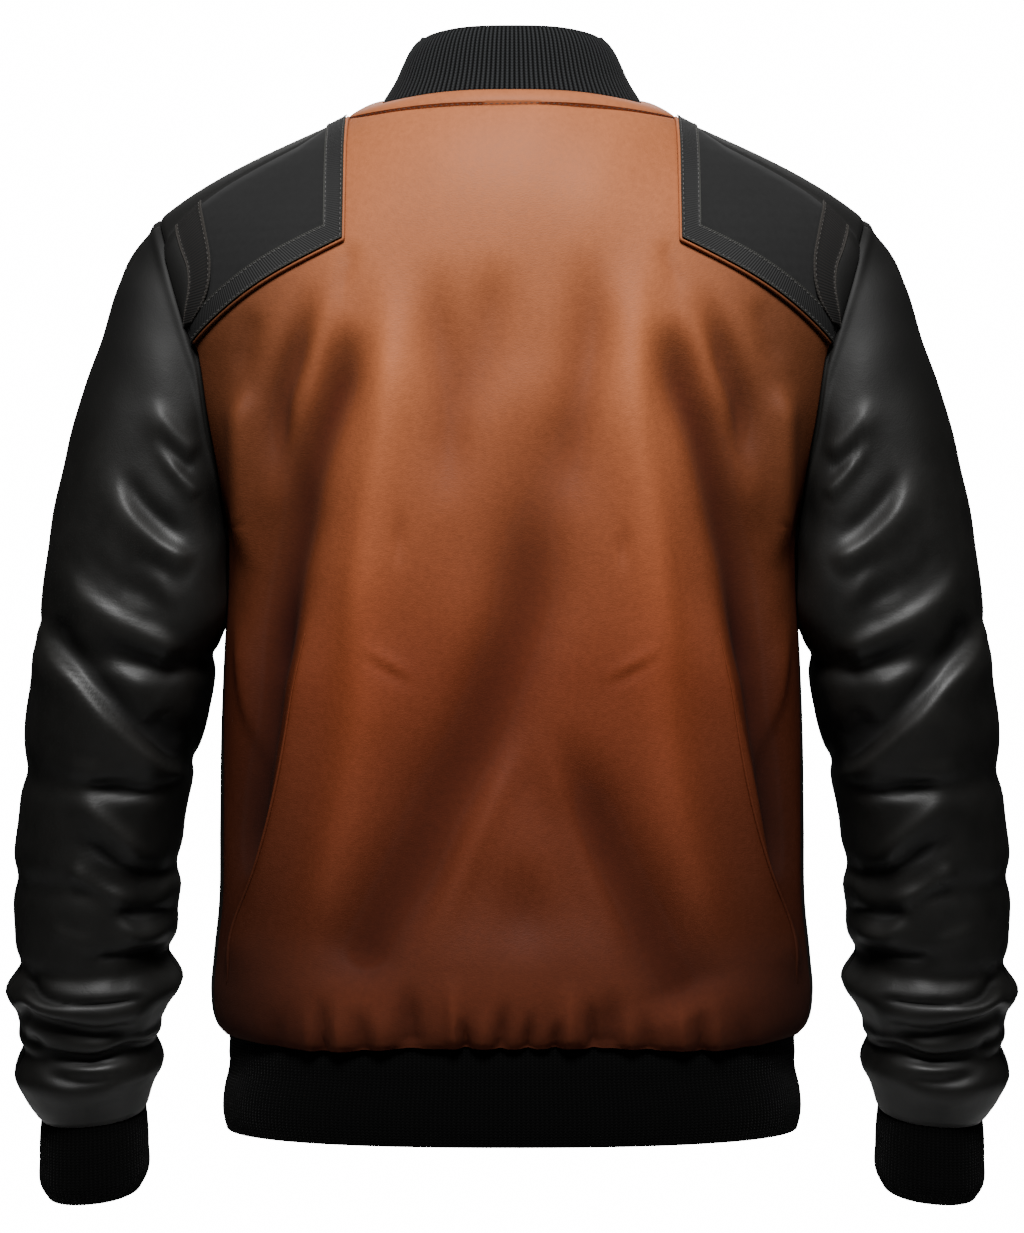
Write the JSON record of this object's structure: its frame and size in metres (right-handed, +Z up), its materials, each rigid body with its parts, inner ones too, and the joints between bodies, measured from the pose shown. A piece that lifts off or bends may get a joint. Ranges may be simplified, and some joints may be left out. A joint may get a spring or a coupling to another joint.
{
  "type": "leather bomber jacket",
  "caption": "Hollow bomber jacket, filled out as worn, with a plain back, shoulder patches, set-in sleeves, rib collar, cuffs and hem, and a front zip.",
  "frame": {"origin": "midway between the two points where the neck band meets the shoulder seams, where the wearer's shoulders hold the jacket", "axes": "+Z up, -Y the front with the zip, +Y the back, +X the wearer's left"},
  "size_m": [0.6682, 0.2522, 0.7652],
  "materials": {
    "tan_leather": "semi-matte, fine grain",
    "black_leather": "smooth, soft shine",
    "patch_cloth": "matte, finely ribbed",
    "black_tape": "matte twill",
    "black_rib_knit": "matte rib knit",
    "zip_metal": "dark satin metal"
  },
  "bodies": {
    "jacket": {"back_panel": "tan_leather", "neck_band": "tan_leather", "front_left": "black_leather", "front_right": "black_leather", "sleeve_back_left": "black_leather", "sleeve_back_right": "black_leather", "sleeve_front_left": "black_leather", "sleeve_front_right": "black_leather", "shoulder_insert_left": "black_leather", "shoulder_insert_right": "black_leather", "shoulder_patch_left": "patch_cloth", "shoulder_patch_right": "patch_cloth", "patch_edge_tape_left": "black_tape", "patch_edge_tape_right": "black_tape", "armhole_tape_left": "black_tape", "armhole_tape_right": "black_tape", "zip_tape_left": "black_tape", "zip_tape_right": "black_tape", "collar_rib": "black_rib_knit", "cuff_left": "black_rib_knit", "cuff_right": "black_rib_knit", "hem_rib": "black_rib_knit", "zip_slider": "zip_metal", "zip_box": "zip_metal"},
    "pull": {"zip_pull": "zip_metal"}
  },
  "joints": [
    {"name": "pull_hinge", "type": "hinge", "parent": "jacket", "child": "pull", "pos_m": [0, -0.09043, -0.08516], "axis": [-1, 0, 0], "range_deg": [0, 150]}
  ]
}
